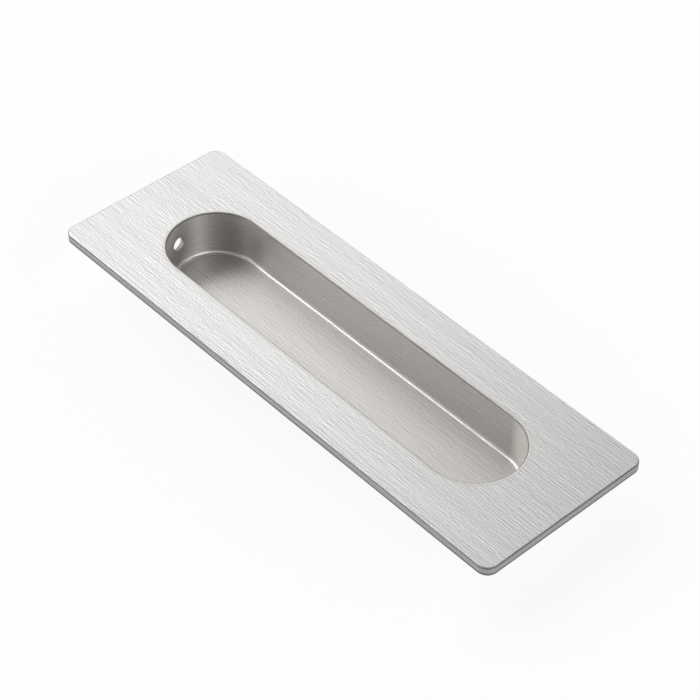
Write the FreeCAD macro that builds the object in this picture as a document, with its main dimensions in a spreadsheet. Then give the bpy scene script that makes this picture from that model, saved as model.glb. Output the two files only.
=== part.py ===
import FreeCAD, Part
import os
import Sketcher

# A recessed pull handle for a sliding or cupboard door: a flat cover plate
# with rounded corners, and a long round-ended cup welded into its opening,
# with its rim flush with the plate's face.
# X runs along the plate, Y across it, and Z out of its face.
# The origin is the centre of the plate's back, in the plane of the door.

SIZES = [
    ("plate_length", 150.0),
    ("plate_width", 50.0),
    ("plate_thickness", 2.4),
    ("plate_corner_radius", 3.0),
    ("plate_face_edge_round", 0.35),
    ("plate_back_edge_round", 0.2),
    ("recess_length", 115.6),
    ("recess_width", 24.7),
    ("recess_depth", 13.3),
    ("rim_round", 0.4),
    ("cup_wall", 0.9),
    ("cup_floor", 0.9),
    ("floor_corner_round", 0.8),
    ("weld_gap", 0.02),
    ("screw_hole_diameter", 3.4),
    ("screw_hole_depth", 6.2),
    ("screw_hole_side_step", 2.5),
    ("screw_hole_edge_break", 0.2),
]

# How far a cutting profile runs past the surface that it cuts.
OVERRUN = 1.0
# How near a position has to be to count as the same, in mm.
NEAR = 1e-4

document = FreeCAD.newDocument("RecessedPullHandle")


def make_sheet():
    """The driving sizes, each in a cell with a name of its own."""
    sheet = document.addObject("Spreadsheet::Sheet", "Sizes")
    for row, (name, value) in enumerate(SIZES, start=1):
        sheet.set("A" + str(row), name)
        sheet.set("B" + str(row), str(value))
        sheet.setAlias("B" + str(row), name)
    document.recompute()
    return sheet


def new_body(name):
    body = document.addObject("PartDesign::Body", name)
    body.Label = name
    body.Placement = FreeCAD.Placement()
    return body


def base_plane(body, role):
    """One of the body's own base planes."""
    for feature in body.Origin.OriginFeatures:
        if feature.Role == role:
            return feature
    raise ValueError("no base plane called " + role)


def new_sketch(body, name, height="0"):
    """A level sketch, at this height over the door's plane."""
    sketch = body.newObject("Sketcher::SketchObject", name)
    sketch.AttachmentSupport = [(base_plane(body, "XY_Plane"), "")]
    sketch.MapMode = "FlatFace"
    sketch.setExpression("AttachmentOffset.Base.z", height)
    return sketch


def dimension(sketch, name, expression, constraint):
    """A named dimension of a sketch, tied to the sheet."""
    sketch.addConstraint(constraint)
    sketch.renameConstraint(sketch.ConstraintCount - 1, name)
    sketch.setExpression("Constraints." + name, expression)


def draw_rectangle(sketch, length, width):
    """A rectangle centred on the origin."""
    half_x, half_y = 20.0, 10.0
    corners = [(-half_x, -half_y), (half_x, -half_y), (half_x, half_y), (-half_x, half_y)]
    points = [FreeCAD.Vector(x, y, 0) for x, y in corners]
    for start, end in zip(points, points[1:] + points[:1]):
        sketch.addGeometry(Part.LineSegment(start, end))
    for side in range(4):
        sketch.addConstraint(Sketcher.Constraint("Coincident", side, 2, (side + 1) % 4, 1))
    for side in (0, 2):
        sketch.addConstraint(Sketcher.Constraint("Horizontal", side))
    for side in (1, 3):
        sketch.addConstraint(Sketcher.Constraint("Vertical", side))
    sketch.addConstraint(Sketcher.Constraint("Symmetric", 0, 1, 1, 2, -1, 1))
    dimension(sketch, "Length", length, Sketcher.Constraint("DistanceX", 0, 1, 0, 2, 2 * half_x))
    dimension(sketch, "Width", width, Sketcher.Constraint("DistanceY", 1, 1, 1, 2, 2 * half_y))


def draw_slot(sketch, length, width):
    """A round-ended slot centred on the origin: two straights and two half circles."""
    radius, half_straight = 5.0, 10.0
    right = FreeCAD.Vector(half_straight, 0, 0)
    left = FreeCAD.Vector(-half_straight, 0, 0)
    up = FreeCAD.Vector(0, radius, 0)
    axis = FreeCAD.Vector(0, 0, 1)
    quarter = 1.5707963267948966
    sketch.addGeometry(Part.LineSegment(left - up, right - up))
    sketch.addGeometry(Part.ArcOfCircle(Part.Circle(right, axis, radius), -quarter, quarter))
    sketch.addGeometry(Part.LineSegment(right + up, left + up))
    sketch.addGeometry(Part.ArcOfCircle(Part.Circle(left, axis, radius), quarter, 3 * quarter))
    for first in range(4):
        sketch.addConstraint(Sketcher.Constraint("Tangent", first, 2, (first + 1) % 4, 1))
    sketch.addConstraint(Sketcher.Constraint("Horizontal", 0))
    sketch.addConstraint(Sketcher.Constraint("Equal", 1, 3))
    sketch.addConstraint(Sketcher.Constraint("Symmetric", 1, 3, 3, 3, -1, 1))
    dimension(
        sketch, "HalfWidth", "(" + width + ") / 2", Sketcher.Constraint("Radius", 1, radius))
    dimension(
        sketch,
        "Straight",
        "(" + length + ") - (" + width + ")",
        Sketcher.Constraint("DistanceX", 3, 3, 1, 3, 2 * half_straight),
    )


def pad(body, name, sketch, length, downwards=False):
    feature = body.newObject("PartDesign::Pad", name)
    feature.Profile = sketch
    feature.Reversed = downwards
    feature.setExpression("Length", length)
    document.recompute()
    return feature


def pocket(body, name, sketch, length, upwards=False):
    """A cut from the sketch's plane, down unless it says upwards."""
    feature = body.newObject("PartDesign::Pocket", name)
    feature.Profile = sketch
    feature.Reversed = upwards
    feature.setExpression("Length", length)
    document.recompute()
    return feature


def edges_where(feature, wanted):
    """Names of a feature's edges that the test picks."""
    edges = enumerate(feature.Shape.Edges, start=1)
    return ["Edge" + str(number) for number, edge in edges if wanted(edge)]


def points_along(edge):
    """The edge's two ends and the point half way."""
    first, last = edge.ParameterRange
    return [edge.valueAt(value) for value in (first, (first + last) / 2, last)]


def level(edge, height):
    """Is the whole edge at this height?"""
    return all(abs(point.z - height) < NEAR for point in points_along(edge))


def fillet(body, name, base, wanted, radius):
    """Rounds the edges of the base feature that the test picks."""
    feature = body.newObject("PartDesign::Fillet", name)
    feature.Base = (base, edges_where(base, wanted))
    feature.setExpression("Radius", radius)
    document.recompute()
    return feature


def on_slot(edge, width):
    """Does the whole edge lie inside a slot of this width, or on its outline?"""
    return all(abs(point.y) < width / 2 + NEAR for point in points_along(edge))


def make_faceplate(sizes):
    """The cover plate: a sheet with round corners, broken edges and a slot for the cup."""
    body = new_body("faceplate")

    outline = new_sketch(body, "PlateOutline")
    draw_rectangle(outline, "Sizes.plate_length", "Sizes.plate_width")
    sheet_metal = pad(body, "PlateSheet", outline, "Sizes.plate_thickness")

    def upright(edge):
        start, _, end = points_along(edge)
        return abs(end.z - start.z) > sizes.plate_thickness / 2

    corners = fillet(body, "PlateCorners", sheet_metal, upright, "Sizes.plate_corner_radius")

    def face_edge(edge):
        return level(edge, sizes.plate_thickness)

    face_round = fillet(
        body, "FaceEdgeRound", corners, face_edge, "Sizes.plate_face_edge_round")

    def back_edge(edge):
        return level(edge, 0)

    fillet(body, "BackEdgeRound", face_round, back_edge, "Sizes.plate_back_edge_round")

    opening = new_sketch(body, "OpeningOutline")
    round_cup = " + 2 * (Sizes.cup_wall + Sizes.weld_gap)"
    draw_slot(opening, "Sizes.recess_length" + round_cup, "Sizes.recess_width" + round_cup)
    pocket(body, "Opening", opening, "Sizes.plate_thickness", upwards=True)
    return body


def draw_screw_hole(sketch):
    """Half the hole's section, with X along its axis: a bore and its broken inner edge."""
    inner, outer, radius, edge_break = 8.0, 12.0, 2.0, 0.5
    corners = [
        (inner - OVERRUN, 0),
        (outer, 0),
        (outer, radius),
        (inner + edge_break, radius),
        (inner - OVERRUN, radius + edge_break + OVERRUN),
    ]
    points = [FreeCAD.Vector(x, y, 0) for x, y in corners]
    for start, end in zip(points, points[1:] + points[:1]):
        sketch.addGeometry(Part.LineSegment(start, end))
    for side in range(5):
        sketch.addConstraint(Sketcher.Constraint("Coincident", side, 2, (side + 1) % 5, 1))
    sketch.addConstraint(Sketcher.Constraint("PointOnObject", 0, 1, -1))
    for side in (0, 2):
        sketch.addConstraint(Sketcher.Constraint("Horizontal", side))
    for side in (1, 4):
        sketch.addConstraint(Sketcher.Constraint("Vertical", side))
    half_width = "Sizes.recess_width / 2"
    dimension(
        sketch, "MouthSide", half_width + " - " + str(OVERRUN),
        Sketcher.Constraint("DistanceX", -1, 1, 0, 1, inner - OVERRUN))
    dimension(
        sketch, "FarSide", half_width + " + Sizes.cup_wall + " + str(OVERRUN),
        Sketcher.Constraint("DistanceX", -1, 1, 1, 1, outer))
    dimension(
        sketch, "BoreRadius", "Sizes.screw_hole_diameter / 2",
        Sketcher.Constraint("DistanceY", 1, 1, 1, 2, radius))
    dimension(
        sketch, "BreakEnd", half_width + " + Sizes.screw_hole_edge_break",
        Sketcher.Constraint("DistanceX", -1, 1, 2, 2, inner + edge_break))
    dimension(
        sketch, "MouthRadius",
        "Sizes.screw_hole_diameter / 2 + Sizes.screw_hole_edge_break + " + str(OVERRUN),
        Sketcher.Constraint("DistanceY", 4, 2, 4, 1, radius + edge_break + OVERRUN))


def make_recess_cup(sizes):
    """The finger cup: a tray of thin sheet that fills the plate's slot, rim to face."""
    body = new_body("recess_cup")
    face = "Sizes.plate_thickness"
    floor_height = sizes.plate_thickness - sizes.recess_depth

    outside = new_sketch(body, "CupOutside", face)
    draw_slot(
        outside, "Sizes.recess_length + 2 * Sizes.cup_wall",
        "Sizes.recess_width + 2 * Sizes.cup_wall")
    block = pad(
        body, "CupBlock", outside, "Sizes.recess_depth + Sizes.cup_floor", downwards=True)

    def underside_edge(edge):
        return level(edge, floor_height - sizes.cup_floor)

    rounded = fillet(
        body, "UndersideRound", block, underside_edge,
        "Sizes.floor_corner_round + Sizes.cup_floor")

    inside = new_sketch(body, "CupInside", face)
    draw_slot(inside, "Sizes.recess_length", "Sizes.recess_width")
    hollow = pocket(body, "CupHollow", inside, "Sizes.recess_depth")

    def floor_edge(edge):
        return level(edge, floor_height)

    floor_round = fillet(
        body, "FloorRound", hollow, floor_edge, "Sizes.floor_corner_round")

    def rim_edge(edge):
        at_rim = level(edge, sizes.plate_thickness)
        return at_rim and on_slot(edge, sizes.recess_width)

    fillet(body, "RimRound", floor_round, rim_edge, "Sizes.rim_round")

    hole_profile = new_sketch(
        body, "ScrewHoleProfile", "Sizes.plate_thickness - Sizes.screw_hole_depth")
    hole_profile.AttachmentOffset = FreeCAD.Placement(
        FreeCAD.Vector(), FreeCAD.Rotation(FreeCAD.Vector(0, 0, 1), 180))
    hole_profile.setExpression(
        "AttachmentOffset.Base.x", "-(Sizes.recess_length - Sizes.recess_width) / 2")
    hole_profile.setExpression(
        "AttachmentOffset.Rotation.Angle",
        "180 deg + asin(2 * Sizes.screw_hole_side_step / Sizes.recess_width)")
    draw_screw_hole(hole_profile)
    document.recompute()
    hole = body.newObject("PartDesign::Groove", "ScrewHole")
    hole.Profile = hole_profile
    hole.ReferenceAxis = (hole_profile, ["H_Axis"])
    hole.Angle = 360
    document.recompute()

    both_ends = body.newObject("PartDesign::Mirrored", "ScrewHoleOtherEnd")
    both_ends.Originals = [hole]
    both_ends.MirrorPlane = (base_plane(body, "YZ_Plane"), [""])
    body.Tip = both_ends
    document.recompute()
    return body


def check_and_write(bodies):
    """Stops if anything failed, and then writes one file for each piece."""
    for feature in document.Objects:
        if "Invalid" in feature.State or "Error" in feature.State:
            raise RuntimeError(feature.Name + " did not compute")
    for body in bodies:
        shape = body.Shape
        if shape.isNull() or not shape.isValid() or len(shape.Solids) != 1:
            raise RuntimeError(body.Label + " is not one sound solid")
    os.makedirs("parts", exist_ok=True)
    for body in bodies:
        body.Shape.exportStep("parts/" + body.Label + ".step")
        box = body.Shape.optimalBoundingBox()
        print(body.Label, "volume %.1f" % body.Shape.Volume,
              "size %.2f x %.2f x %.2f" % (box.XLength, box.YLength, box.ZLength))


sizes = make_sheet()
check_and_write([make_faceplate(sizes), make_recess_cup(sizes)])
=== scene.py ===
"""A recessed pull handle in brushed stainless steel, on a pale studio floor."""

import math

import bpy
from mathutils import Matrix, Vector


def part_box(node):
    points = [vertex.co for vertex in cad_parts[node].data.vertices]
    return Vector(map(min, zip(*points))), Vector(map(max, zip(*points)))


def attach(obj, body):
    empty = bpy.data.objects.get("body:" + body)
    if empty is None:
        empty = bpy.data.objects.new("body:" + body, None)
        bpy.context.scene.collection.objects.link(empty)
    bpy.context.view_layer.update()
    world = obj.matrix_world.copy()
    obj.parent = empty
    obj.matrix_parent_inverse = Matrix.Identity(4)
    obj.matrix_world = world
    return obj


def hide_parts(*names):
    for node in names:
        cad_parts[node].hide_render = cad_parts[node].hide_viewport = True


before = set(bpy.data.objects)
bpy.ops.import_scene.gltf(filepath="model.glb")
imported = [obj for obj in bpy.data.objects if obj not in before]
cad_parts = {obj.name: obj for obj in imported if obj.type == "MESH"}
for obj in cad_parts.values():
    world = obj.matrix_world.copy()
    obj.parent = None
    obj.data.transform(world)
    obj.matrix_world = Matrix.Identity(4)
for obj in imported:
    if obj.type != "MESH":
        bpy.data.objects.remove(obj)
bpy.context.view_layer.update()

MM = 0.001

# Sizes that the frame gives, in metres.
PLATE_LOW, PLATE_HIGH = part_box("faceplate")
CUP_LOW, CUP_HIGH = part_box("recess_cup")
PLATE_LENGTH, PLATE_WIDTH, PLATE_THICKNESS = PLATE_HIGH - PLATE_LOW
CUP_LENGTH, CUP_WIDTH = (CUP_HIGH - CUP_LOW).xy

# Sizes of the sheet metal, in metres, the same as in the CAD.
PLATE_CORNER_RADIUS = 3.0 * MM
FACE_EDGE_ROUND = 0.35 * MM
BACK_EDGE_ROUND = 0.2 * MM
WELD_GAP = 0.02 * MM
CUP_WALL = 0.9 * MM
RIM_ROUND = 0.4 * MM
FLOOR_CORNER_ROUND = 0.8 * MM
SCREW_HOLE_RADIUS = 1.7 * MM
SCREW_HOLE_EDGE_BREAK = 0.2 * MM
SCREW_HOLE_DEPTH = 6.2 * MM
SCREW_HOLE_SIDE_STEP = 2.5 * MM

# How finely curves are drawn, in steps.
CORNER_STEPS = 24
END_STEPS = 72
ROUND_STEPS = 7
HOLE_STEPS = 64
QUARTER_TURN = math.pi / 2
# A slot's end radius as a share of its width: a hair under half, so no edge is empty.
END_RADIUS_SHARE = 0.4995
# Edges that turn by more than this stay crisp.
CRISP_ANGLE = math.radians(28)
# Points nearer than this are one point.
SAME_POINT = 0.01 * MM
# A screw hole's cutter: how far it reaches from the wall's inner face, in wall thicknesses,
# and how wide the tip of its cone is, as a share of the hole.
CUTTER_REACH = 3
CUTTER_TIP_SHARE = 0.5

# The map that the brush marks follow.
BRUSH_MAP = "UVMap"
# How far a face is a dull cut edge darkened with painted shade, and how far it is polished and
# lightened with a painted highlight.
CUT_AND_SHADE = "Cut edge and painted shade"
POLISHED_AND_HIGHLIGHT = "Polished with painted highlight"
# A length past the end of any section.
PAST_ALL = 1.0
# How much of the plate's side, from below, is its lower part.
LOWER_SIDE = 0.3
# How dull the plate's face edge is, then its side, and then the side's lower part. The same
# amounts darken them with painted shade, most on the lower part, which faces down.
EDGE_DULL_AND_SHADED = 1.0
SIDE_DULL_AND_SHADED = 0.7
LOWER_DULL_AND_SHADED = 1.1
# The brush reaches over this share of the round at the plate's face edge.
BRUSHED_ROUND_SHARE = 0.3
# How dull the cup's rim is, and how far round it from the wall, in rim radii. The same amount
# darkens the rim with painted shade.
RIM_DULL_AND_SHADED = 0.8
RIM_DULL_AND_SHADED_LENGTH = 1.3
# The rim's faces this near its top, in rim radii, are brushed along the handle, like the
# plate's face.
FLUSH_DEPTH = 0.3

# The brush marks: their width, how far apart the two readings of each are, and each kind's
# length and share of the contrast.
MARK_WIDTH = 0.155 * MM
MARK_STEP = 0.28 * MM
MARKS = [
    (1.2 * MM, 0.4),
    (4 * MM, 0.55),
    (12 * MM, 0.45),
    (40 * MM, 0.45),
]
# Each kind is read this many mark widths beside the one before, so they don't line up.
MARK_KIND_STEP = 23
# All noise is read this many cells further along, clear of its origin, and lies round its mean.
NOISE_START = 3.7
NOISE_MEAN = 0.5
# Broad bands and fine grain: length, width and share of the contrast.
BROAD_BANDS = (60 * MM, 2.5 * MM, 0.12)
GRAIN = (0.4 * MM, 0.2 * MM, 0.3)
# Marks this far from 0 are at full strength.
FULL_MARK = 0.3

# The steel: its roughness, and how far the marks change it.
ROUGHNESS = 0.38
ROUGHNESS_SWING = 0.04
ANISOTROPY = 0.85
# A quarter of a turn puts the stretched highlights across the marks.
ANISOTROPY_TURN = 0.25
BUMP_STRENGTH = 0.15
BUMP_DEPTH = 0.01 * MM
# A cut edge is rougher, and its colour is darkened as painted shade. A polished face is smoother,
# and its colour is lightened as a painted highlight.
CUT_AND_SHADE_DARKER = 0.66
CUT_ROUGHER = 0.07
PAINTED_HIGHLIGHT_LIGHTER = 0.3
POLISHED_SMOOTHER = 0.17
# Colour, and how far the marks lighten and darken it.
PLATE_STEEL = ((0.74, 0.733, 0.728), 0.32)
CUP_STEEL = ((0.70, 0.683, 0.66), 0.22)

# Soft panels of the studio: azimuth and elevation in degrees, focus and brightness.
# Azimuth 0 is the front, and 90 is +X. With a focus of 14, a panel is 36 degrees across at
# half its brightness.
PANELS = [
    (272, 50, 15, 2.55),
    (229, 43, 60, 0.85),
    (297, 44, 120, 0.9),
    (123, 37, 120, 1.2),
    (90, 8, 14, 1.3),
    (330, 10, 14, 0.8),
]
# Soft bands all round: sine of the elevation, focus and brightness. A focus of 0 is even.
BANDS = [
    (0.0, 4.6, 1.3),
    (1.0, 0.0, 0.15),
]

# The floor's paper: its shade, how much of its lit look is shown, and the glow that fills it.
PAPER_SHADE = 0.86
PAPER_SHOWN = 0.3
PAPER_GLOW = 0.83
FLOOR_HALF_SIDE = 3.0

# The camera, fitted to the edges of the plate and of the recess. Its angles are in degrees.
LOOK_AT = Vector((4.4, -0.5, 2.4)) * MM
CAMERA_DISTANCE = 529.5 * MM
CAMERA_AZIMUTH = 47.1
CAMERA_ELEVATION = 43.8
CAMERA_ROLL = 0.84
CAMERA_LENS = 115.33
CAMERA_NEAREST = 0.01
CAMERA_FARTHEST = 20.0


# Node trees

class Value:
    """A number in a node tree, which adds and multiplies like a plain one."""

    def __init__(self, tree, socket):
        self.tree = tree
        self.socket = socket

    def _math(self, operation, first, second=0.0):
        node = self.tree.nodes.new("ShaderNodeMath")
        node.operation = operation
        feed(self.tree, node.inputs[0], first)
        feed(self.tree, node.inputs[1], second)
        return Value(self.tree, node.outputs[0])

    def __add__(self, other):
        return self._math("ADD", self, other)

    def __radd__(self, other):
        return self._math("ADD", other, self)

    def __sub__(self, other):
        return self._math("SUBTRACT", self, other)

    def __rsub__(self, other):
        return self._math("SUBTRACT", other, self)

    def __mul__(self, other):
        return self._math("MULTIPLY", self, other)

    def __rmul__(self, other):
        return self._math("MULTIPLY", other, self)

    def __truediv__(self, other):
        return self._math("DIVIDE", self, other)

    def __neg__(self):
        return self._math("MULTIPLY", self, -1.0)

    def over(self, other):
        """1 where it is the larger one, and 0 elsewhere."""
        return self._math("GREATER_THAN", self, other)

    def angle_of_sine(self):
        return self._math("ARCSINE", self)

    def cosine(self):
        return self._math("COSINE", self)

    def sine(self):
        return self._math("SINE", self)

    def exponent(self):
        return self._math("EXPONENT", self)


def feed(tree, socket, term):
    """Gives a socket a plain value, or links it to another node's output."""
    if isinstance(term, Value):
        tree.links.new(term.socket, socket)
    elif isinstance(term, bpy.types.NodeSocket):
        tree.links.new(term, socket)
    else:
        socket.default_value = term


def add(tree, kind, inputs=None, output=0, **settings):
    """Adds a node with these settings and inputs, and returns one of its outputs."""
    node = tree.nodes.new(kind)
    for name, value in settings.items():
        setattr(node, name, value)
    for key, term in (inputs or {}).items():
        feed(tree, node.inputs[key], term)
    return node.outputs[output]


def point(tree, x=0.0, y=0.0, z=0.0):
    return add(tree, "ShaderNodeCombineXYZ", {0: x, 1: y, 2: z})


def join(tree, parts):
    """Joins meshes or curves."""
    node = tree.nodes.new("GeometryNodeJoinGeometry")
    for part in parts:
        tree.links.new(part, node.inputs[0])
    return node.outputs[0]


def new_tree(name, sizes):
    """A geometry tree with these named inputs. Returns it and its inputs as values."""
    tree = bpy.data.node_groups.new(name, "GeometryNodeTree")
    tree.interface.new_socket("Geometry", in_out="OUTPUT", socket_type="NodeSocketGeometry")
    for label in sizes:
        tree.interface.new_socket(label, in_out="INPUT", socket_type="NodeSocketFloat")
    tree.interface.new_socket("Material", in_out="INPUT", socket_type="NodeSocketMaterial")
    entry = tree.nodes.new("NodeGroupInput")
    given = {label: Value(tree, entry.outputs[label]) for label in sizes}
    return tree, given, entry.outputs["Material"]


def close_tree(tree, geometry, material):
    """Ends a tree: crisp and smooth edges, one real mesh, and its material."""
    smooth = add(tree, "GeometryNodeSetShadeSmooth", {"Geometry": geometry, "Shade Smooth": True})
    turn = Value(tree, add(tree, "GeometryNodeInputMeshEdgeAngle"))
    crisp = add(
        tree, "GeometryNodeSetShadeSmooth",
        {"Geometry": smooth, "Selection": turn.over(CRISP_ANGLE), "Shade Smooth": False},
        domain="EDGE")
    real = add(tree, "GeometryNodeRealizeInstances", {"Geometry": crisp})
    finished = add(tree, "GeometryNodeSetMaterial", {"Geometry": real, "Material": material})
    leave = tree.nodes.new("NodeGroupOutput")
    tree.links.new(finished, leave.inputs[0])


def outline(tree, length, width, radius, steps):
    """A level rectangle round the origin with rounded corners."""
    rectangle = add(
        tree, "GeometryNodeCurvePrimitiveQuadrilateral", {"Width": length, "Height": width})
    return add(
        tree, "GeometryNodeFilletCurve",
        {"Curve": rectangle, "Count": steps, "Radius": radius, "Limit Radius": True},
        mode="POLY")


def slot_outline(tree, length, width):
    """A level round-ended slot round the origin."""
    return outline(tree, length, width, width * END_RADIUS_SHARE, END_STEPS)


def by_index(tree, kind, terms):
    """The term whose place in the list is the point's index."""
    node = tree.nodes.new("GeometryNodeIndexSwitch")
    node.data_type = kind
    while len(node.index_switch_items) < len(terms):
        node.index_switch_items.new()
    feed(tree, node.inputs[0], add(tree, "GeometryNodeInputIndex"))
    for place, term in enumerate(terms, start=1):
        feed(tree, node.inputs[place], term)
    return node.outputs[0]


def section(tree, corners):
    """An open section curve: corners as (outwards, up, radius of the corner's round)."""
    line = add(tree, "GeometryNodeMeshLine", {"Count": len(corners)})
    # In a sweep, a section's second direction points down.
    places = [point(tree, out, -up) for out, up, _ in corners]
    placed = add(
        tree, "GeometryNodeSetPosition",
        {"Geometry": line, "Position": by_index(tree, "VECTOR", places)})
    curve = add(tree, "GeometryNodeMeshToCurve", {"Mesh": placed})
    radii = by_index(tree, "FLOAT", [radius for _, _, radius in corners])
    return add(
        tree, "GeometryNodeFilletCurve",
        {"Curve": curve, "Count": ROUND_STEPS, "Radius": radii, "Limit Radius": False},
        mode="POLY")


def with_length(tree, curve):
    """The curve, and its length so far as a value that the swept mesh keeps."""
    so_far = tree.nodes.new("GeometryNodeSplineParameter").outputs["Length"]
    capture = tree.nodes.new("GeometryNodeCaptureAttribute")
    capture.capture_items.new("FLOAT", "Length")
    tree.links.new(curve, capture.inputs[0])
    tree.links.new(so_far, capture.inputs[1])
    return capture.outputs[0], Value(tree, capture.outputs[1])


def brush_map(tree, mesh, along, across, where=True):
    """Stores the map that the brush marks follow: the first direction runs along them."""
    return add(
        tree, "GeometryNodeStoreNamedAttribute",
        {"Geometry": mesh, "Selection": where, "Name": BRUSH_MAP,
         "Value": point(tree, along, across)},
        data_type="FLOAT2", domain="CORNER")


def marks_along(tree, mesh, where=True):
    """Brush marks that run along the handle."""
    here = add(tree, "ShaderNodeSeparateXYZ", {0: add(tree, "GeometryNodeInputPosition")})
    x, y = (Value(tree, here.node.outputs[axis]) for axis in (0, 1))
    return brush_map(tree, mesh, x, y, where)


def of_face(tree, value):
    """The mean of a value over each face."""
    return Value(tree, add(
        tree, "GeometryNodeFieldOnDomain", {0: value}, data_type="FLOAT", domain="FACE"))


def sweep(tree, path, profile, flip, finishes=()):
    """A section swept round a closed path, with brush marks that run round it.

    A finish names an attribute and gives bands: two lengths along the section and an amount.
    """
    path, along = with_length(tree, path)
    whole = Value(tree, add(tree, "GeometryNodeCurveLength", {"Curve": path}))
    profile, across = with_length(tree, profile)
    band = add(tree, "GeometryNodeCurveToMesh", {"Curve": path, "Profile Curve": profile})
    if flip:
        band = add(tree, "GeometryNodeFlipFaces", {"Mesh": band})
    # The last faces end at the path's first point, which reads 0, so there the whole length
    # is added. Their mean is over a quarter of it, and that of the first faces is under.
    past_the_join = of_face(tree, along).over(whole / 4) * (1 - along.over(SAME_POINT))
    in_section = of_face(tree, across)
    for name, bands in finishes:
        total = 0.0
        for start, end, amount in bands:
            total = in_section.over(start) * (1 - in_section.over(end)) * amount + total
        band = add(
            tree, "GeometryNodeStoreNamedAttribute",
            {"Geometry": band, "Name": name, "Value": total}, data_type="FLOAT", domain="FACE")
    return brush_map(tree, band, along + whole * past_the_join, across)


def flat_face(tree, curves, height, faces_up):
    """A level face between these outlines, with brush marks that run along it."""
    face = add(tree, "GeometryNodeFillCurve", {"Curve": join(tree, curves)}, mode="TRIANGLES")
    if not faces_up:
        face = add(tree, "GeometryNodeFlipFaces", {"Mesh": face})
    placed = add(
        tree, "GeometryNodeTransform",
        {"Geometry": face, "Translation": point(tree, z=height)})
    return marks_along(tree, placed)


def welded(tree, parts):
    """The parts as one mesh, with the points at one place merged."""
    return add(
        tree, "GeometryNodeMergeByDistance",
        {"Geometry": join(tree, parts), "Distance": SAME_POINT})


# Pieces

def plate_tree():
    """The cover plate: a sheet with round corners, softened edges and a slot."""
    tree, size, material = new_tree("cover_plate", [
        "Length", "Width", "Thickness", "Corner radius", "Face edge round",
        "Back edge round", "Slot length", "Slot width"])
    length, width, thickness = size["Length"], size["Width"], size["Thickness"]
    corner, face_round, back_round = (
        size["Corner radius"], size["Face edge round"], size["Back edge round"])
    slot_length, slot_width = size["Slot length"], size["Slot width"]

    def outer(step):
        return outline(
            tree, length - step * 2, width - step * 2, corner - step, CORNER_STEPS)

    edge = section(tree, [
        (-face_round, thickness, 0.0), (0.0, thickness, face_round),
        (0.0, thickness * LOWER_SIDE, 0.0), (0.0, 0.0, back_round), (-back_round, 0.0, 0.0)])
    slot_side = section(tree, [(0.0, thickness, 0.0), (0.0, 0.0, 0.0)])
    slot = slot_outline(tree, slot_length, slot_width)
    round_end = face_round * QUARTER_TURN
    lower_start = round_end + thickness * (1 - LOWER_SIDE) - face_round
    # The face edge and the side are dull and darkened with painted shade, most on the lower part,
    # which faces down.
    finishes = [(CUT_AND_SHADE, [
        (round_end * BRUSHED_ROUND_SHARE, round_end, EDGE_DULL_AND_SHADED),
        (round_end, lower_start, SIDE_DULL_AND_SHADED),
        (lower_start, PAST_ALL, LOWER_DULL_AND_SHADED)])]
    parts = [
        flat_face(tree, [outer(face_round), slot], thickness, True),
        flat_face(tree, [outer(back_round), slot], 0.0, False),
        sweep(tree, outer(0.0), edge, False, finishes),
        sweep(tree, slot, slot_side, True),
    ]
    close_tree(tree, welded(tree, parts), material)
    return tree


def hole_cutter(tree, size, end):
    """What a screw hole takes out of the cup's end: a bore and the break of its edge.

    The end is 1 or -1. The bore is square to the wall, to one side of the end's middle.
    """
    radius, edge_break = size["Hole radius"], size["Hole edge break"]
    half_width = size["Width"] / 2 - size["Wall"]
    swing = (size["Hole side step"] / half_width).angle_of_sine()
    reach, tip = size["Wall"] * CUTTER_REACH, radius * CUTTER_TIP_SHARE
    bore = add(
        tree, "GeometryNodeMeshCylinder",
        {"Vertices": HOLE_STEPS, "Radius": radius, "Depth": reach * 2})
    # The cone's side slopes by 45 degrees. At the wall's face it is wider than the hole by the
    # break.
    cone = add(
        tree, "GeometryNodeMeshCone",
        {"Vertices": HOLE_STEPS, "Radius Bottom": radius + reach, "Radius Top": tip,
         "Depth": reach + tip})
    cone = add(
        tree, "GeometryNodeTransform",
        {"Geometry": cone, "Translation": point(tree, z=edge_break - reach)})
    both = add(
        tree, "GeometryNodeMeshBoolean", {"Mesh 2": join(tree, [bore, cone])},
        operation="UNION", solver="EXACT")
    turned = add(
        tree, "GeometryNodeTransform",
        {"Geometry": both, "Rotation": point(tree, y=QUARTER_TURN)})
    out_x, out_y = swing.cosine() * half_width * end, -swing.sine() * half_width
    centre = end * (size["Length"] / 2 - size["Wall"] - half_width)
    facing = -swing if end > 0 else math.pi + swing
    return add(
        tree, "GeometryNodeTransform",
        {"Geometry": turned, "Rotation": point(tree, z=facing),
         "Translation": point(tree, centre + out_x, out_y, size["Top"] - size["Hole depth"])})


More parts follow.
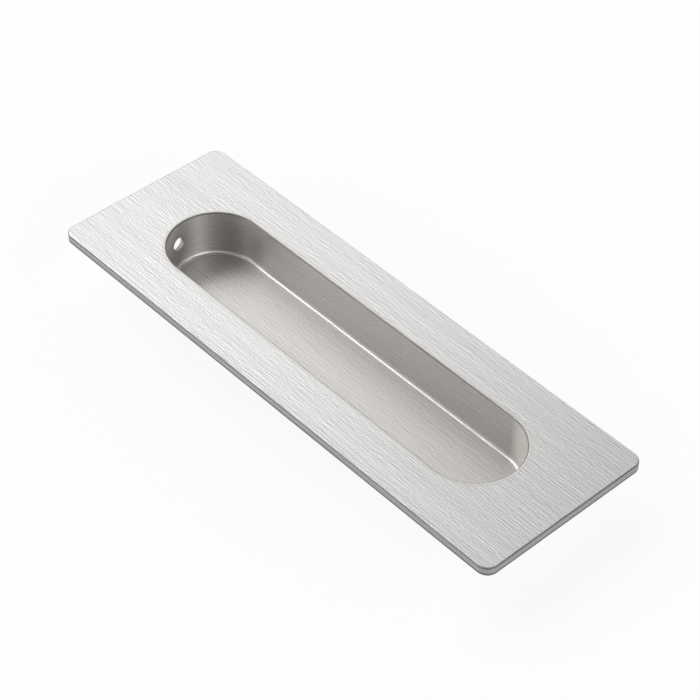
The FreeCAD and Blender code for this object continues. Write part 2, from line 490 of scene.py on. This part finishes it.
def cup_tree():
    """The finger cup: a thin wall swept round a slot, a floor, and a hole in each end."""
    tree, size, material = new_tree("finger_cup", [
        "Length", "Width", "Top", "Bottom", "Wall", "Rim round", "Floor corner round",
        "Hole radius", "Hole edge break", "Hole depth", "Hole side step"])
    top, bottom, wall = size["Top"], size["Bottom"], size["Wall"]
    corner, rim = size["Floor corner round"], size["Rim round"]
    floor = bottom + wall
    inner_length, inner_width = size["Length"] - wall * 2, size["Width"] - wall * 2
    wall_section = section(tree, [
        (-corner, floor, 0.0), (0.0, floor, corner), (0.0, top, rim), (wall, top, 0.0),
        (wall, bottom, corner + wall), (-corner, bottom, 0.0)])
    inset = slot_outline(tree, inner_length - corner * 2, inner_width - corner * 2)
    path = slot_outline(tree, inner_length, inner_width)
    fillet_end = corner * QUARTER_TURN
    rim_start = fillet_end + top - floor - corner - rim
    side = sweep(tree, path, wall_section, False, [
        # The floor's corner round is polished and lightened with a painted highlight.
        (POLISHED_AND_HIGHLIGHT, [(-PAST_ALL, fillet_end, 1.0)]),
        # The rim's round next to the wall is dull and darkened with painted shade.
        (CUT_AND_SHADE, [(rim_start, rim_start + rim * RIM_DULL_AND_SHADED_LENGTH, RIM_DULL_AND_SHADED)])])
    height = Value(tree, add(
        tree, "ShaderNodeSeparateXYZ", {0: add(tree, "GeometryNodeInputPosition")}, output=2))
    flush = of_face(tree, height).over(top - rim * FLUSH_DEPTH)
    parts = [
        flat_face(tree, [inset], floor, True),
        flat_face(tree, [inset], bottom, False),
        marks_along(tree, side, flush),
    ]
    cutters = [hole_cutter(tree, size, end) for end in (-1, 1)]
    cut = add(
        tree, "GeometryNodeMeshBoolean",
        {"Mesh 1": welded(tree, parts), "Mesh 2": join(tree, cutters)},
        operation="DIFFERENCE", solver="EXACT")
    close_tree(tree, welded(tree, [cut]), material)
    return tree


def make_piece(name, tree, sizes, material):
    """Runs a tree with these sizes, and keeps the result as a plain mesh."""
    shell = bpy.data.objects.new(name + "_tree", bpy.data.meshes.new(name + "_tree"))
    bpy.context.scene.collection.objects.link(shell)
    nodes = shell.modifiers.new("Shape", "NODES")
    nodes.node_group = tree
    for socket in tree.interface.items_tree:
        if socket.in_out == "INPUT":
            given = material if socket.name == "Material" else sizes[socket.name]
            nodes[socket.identifier] = given
    shell.modifiers.new("Normals", "WEIGHTED_NORMAL").keep_sharp = True
    evaluated = shell.evaluated_get(bpy.context.evaluated_depsgraph_get())
    mesh = bpy.data.meshes.new_from_object(evaluated)
    bpy.data.objects.remove(shell)
    mesh.name = name
    # The shell has no material, which leaves an empty slot before the piece's own.
    while mesh.materials and mesh.materials[0] is None:
        mesh.materials.pop(index=0)
    piece = bpy.data.objects.new(name, mesh)
    bpy.context.scene.collection.objects.link(piece)
    return piece


def make_plate(material):
    """The cover plate, with a slot that clears the cup by the weld gap."""
    return make_piece("cover_plate", plate_tree(), {
        "Length": PLATE_LENGTH,
        "Width": PLATE_WIDTH,
        "Thickness": PLATE_THICKNESS,
        "Corner radius": PLATE_CORNER_RADIUS,
        "Face edge round": FACE_EDGE_ROUND,
        "Back edge round": BACK_EDGE_ROUND,
        "Slot length": CUP_LENGTH + 2 * WELD_GAP,
        "Slot width": CUP_WIDTH + 2 * WELD_GAP,
    }, material)


def make_cup(material):
    """The finger cup, which stands in the plate's slot."""
    return make_piece("finger_cup", cup_tree(), {
        "Length": CUP_LENGTH,
        "Width": CUP_WIDTH,
        "Top": CUP_HIGH.z,
        "Bottom": CUP_LOW.z,
        "Wall": CUP_WALL,
        "Rim round": RIM_ROUND,
        "Floor corner round": FLOOR_CORNER_ROUND,
        "Hole radius": SCREW_HOLE_RADIUS,
        "Hole edge break": SCREW_HOLE_EDGE_BREAK,
        "Hole depth": SCREW_HOLE_DEPTH,
        "Hole side step": SCREW_HOLE_SIDE_STEP,
    }, material)


# Materials

def long_noise(tree, brush, along, across, aside=0.0):
    """Noise in cells of this length and width in metres, read this far to one side."""
    moved = add(
        tree, "ShaderNodeVectorMath", {0: brush, 1: (along * NOISE_START, aside, 0.0)},
        operation="ADD")
    stretched = add(
        tree, "ShaderNodeVectorMath",
        {0: moved, 1: (1 / along, 1 / across, 1.0)}, operation="MULTIPLY")
    return Value(tree, add(
        tree, "ShaderNodeTexNoise", {"Vector": stretched, "Scale": 1.0, "Detail": 0.0}))


def brush_marks(tree, brush):
    """Fine light and dark lines round 0, over some broad bands and grain.

    A line is the difference of two readings of long noise, so it makes no patches.
    """
    marks = 0.0
    for number, (length, share) in enumerate(MARKS):
        start = number * MARK_KIND_STEP * MARK_WIDTH
        here = long_noise(tree, brush, length, MARK_WIDTH, start)
        beside = long_noise(tree, brush, length, MARK_WIDTH, start + MARK_STEP)
        marks = (here - beside) * share + marks
    for length, width, share in (BROAD_BANDS, GRAIN):
        marks = marks + (long_noise(tree, brush, length, width) - NOISE_MEAN) * share
    return marks


def by_marks(tree, marks, darkest, lightest):
    """A value that runs from one to the other with the marks."""
    return Value(tree, add(
        tree, "ShaderNodeMapRange",
        {"Value": marks, "From Min": -FULL_MARK, "From Max": FULL_MARK,
         "To Min": darkest, "To Max": lightest}))


def brushed_steel(name, colour, contrast):
    """Satin stainless steel with brush marks that follow the brush map."""
    material = bpy.data.materials.new(name)
    material.use_nodes = True
    tree = material.node_tree
    shader = tree.nodes["Principled BSDF"]
    brush = add(tree, "ShaderNodeUVMap", uv_map=BRUSH_MAP)
    cut, polished_and_highlight = (
        Value(tree, add(tree, "ShaderNodeAttribute", output="Fac", attribute_name=finish))
        for finish in (CUT_AND_SHADE, POLISHED_AND_HIGHLIGHT))

    marks = brush_marks(tree, brush)
    level = by_marks(tree, marks, 1 - contrast, 1 + contrast)
    # Painted shade darkens the cut edges and the rim, and a painted highlight lightens the
    # polished fillet.
    shade = level * (1 - cut * CUT_AND_SHADE_DARKER) * (1 + polished_and_highlight * PAINTED_HIGHLIGHT_LIGHTER)
    tint = add(
        tree, "ShaderNodeVectorMath", {0: colour, "Scale": shade}, operation="SCALE")
    feed(tree, shader.inputs["Base Color"], tint)
    rough = by_marks(tree, marks, ROUGHNESS + ROUGHNESS_SWING, ROUGHNESS - ROUGHNESS_SWING)
    rough = rough + cut * CUT_ROUGHER - polished_and_highlight * POLISHED_SMOOTHER
    feed(tree, shader.inputs["Roughness"], rough)
    bump = add(
        tree, "ShaderNodeBump",
        {"Strength": BUMP_STRENGTH, "Distance": BUMP_DEPTH, "Height": marks})
    feed(tree, shader.inputs["Normal"], bump)
    shader.inputs["Metallic"].default_value = 1.0
    shader.inputs["Anisotropic"].default_value = ANISOTROPY
    shader.inputs["Anisotropic Rotation"].default_value = ANISOTROPY_TURN
    tangent = add(tree, "ShaderNodeTangent", direction_type="UV_MAP", uv_map=BRUSH_MAP)
    feed(tree, shader.inputs["Tangent"], tangent)
    return material


def floor_material():
    """Pale studio paper. Seen or mirrored, a glow lifts it to near white, shadow and all."""
    material = bpy.data.materials.new("studio_paper")
    material.use_nodes = True
    tree = material.node_tree
    tree.nodes.clear()
    rays = tree.nodes.new("ShaderNodeLightPath").outputs
    kinds = ("Is Camera Ray", "Is Glossy Ray", "Is Transmission Ray")
    camera, glossy, through = (Value(tree, rays[kind]) for kind in kinds)
    seen = camera + glossy + through
    shade = PAPER_SHADE * (1 - seen * (1 - PAPER_SHOWN))
    paper = add(tree, "ShaderNodeBsdfDiffuse", {"Color": point(tree, shade, shade, shade)})
    glow = add(tree, "ShaderNodeEmission", {"Strength": seen * PAPER_GLOW})
    shown = add(tree, "ShaderNodeAddShader", {0: paper, 1: glow})
    leave = tree.nodes.new("ShaderNodeOutputMaterial")
    tree.links.new(shown, leave.inputs["Surface"])
    return material


# Studio

def make_floor():
    """A level floor at the height of the cup's bottom."""
    mesh = bpy.data.meshes.new("studio_floor")
    half, height = FLOOR_HALF_SIDE, CUP_LOW.z
    corners = [(-half, -half, height), (half, -half, height),
               (half, half, height), (-half, half, height)]
    mesh.from_pydata(corners, [], [(0, 1, 2, 3)])
    floor = bpy.data.objects.new("studio_floor", mesh)
    bpy.context.scene.collection.objects.link(floor)
    mesh.materials.append(floor_material())
    return floor


def direction(azimuth, elevation):
    """From the object towards a place: azimuth 0 is the front, and 90 is +X."""
    a, e = math.radians(azimuth), math.radians(elevation)
    return Vector((math.sin(a) * math.cos(e), -math.cos(a) * math.cos(e), math.sin(e)))


def make_world():
    """The studio round the handle: a glow near the horizon, and soft panels to mirror."""
    world = bpy.data.worlds.new("studio_surround")
    bpy.context.scene.world = world
    world.use_nodes = True
    tree = world.node_tree
    tree.nodes.clear()
    seen = tree.nodes.new("ShaderNodeTexCoord").outputs["Generated"]
    height = Value(tree, add(tree, "ShaderNodeSeparateXYZ", {0: seen}, output=2))
    level = 0.0
    for middle, focus, brightness in BANDS:
        off = height - middle
        level = (off * off * -focus).exponent() * brightness + level
    for azimuth, elevation, focus, brightness in PANELS:
        nearness = Value(tree, add(
            tree, "ShaderNodeVectorMath", {0: seen, 1: direction(azimuth, elevation)},
            output="Value", operation="DOT_PRODUCT"))
        level = level + ((nearness - 1) * focus).exponent() * brightness
    surround = add(tree, "ShaderNodeBackground", {"Strength": level})
    leave = tree.nodes.new("ShaderNodeOutputWorld")
    tree.links.new(surround, leave.inputs["Surface"])


def make_camera():
    """The camera, aimed at the handle as the fit gives it."""
    data = bpy.data.cameras.new("camera")
    data.lens = CAMERA_LENS
    data.clip_start = CAMERA_NEAREST
    data.clip_end = CAMERA_FARTHEST
    camera = bpy.data.objects.new("camera", data)
    bpy.context.scene.collection.objects.link(camera)
    back = direction(CAMERA_AZIMUTH, CAMERA_ELEVATION)
    level_right = direction(CAMERA_AZIMUTH + 90, 0)
    right = Matrix.Rotation(math.radians(CAMERA_ROLL), 3, back) @ level_right
    up = back.cross(right)
    turn = Matrix((right, up, back)).transposed()
    camera.matrix_world = Matrix.Translation(LOOK_AT + back * CAMERA_DISTANCE) @ turn.to_4x4()
    bpy.context.scene.camera = camera


def main():
    bpy.context.scene.view_settings.view_transform = "Standard"
    make_camera()
    make_world()
    make_floor()

    plate = make_plate(brushed_steel("brushed_plate", *PLATE_STEEL))
    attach(plate, "root")
    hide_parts("faceplate")

    cup = make_cup(brushed_steel("brushed_cup", *CUP_STEEL))
    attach(cup, "root")
    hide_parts("recess_cup")


main()
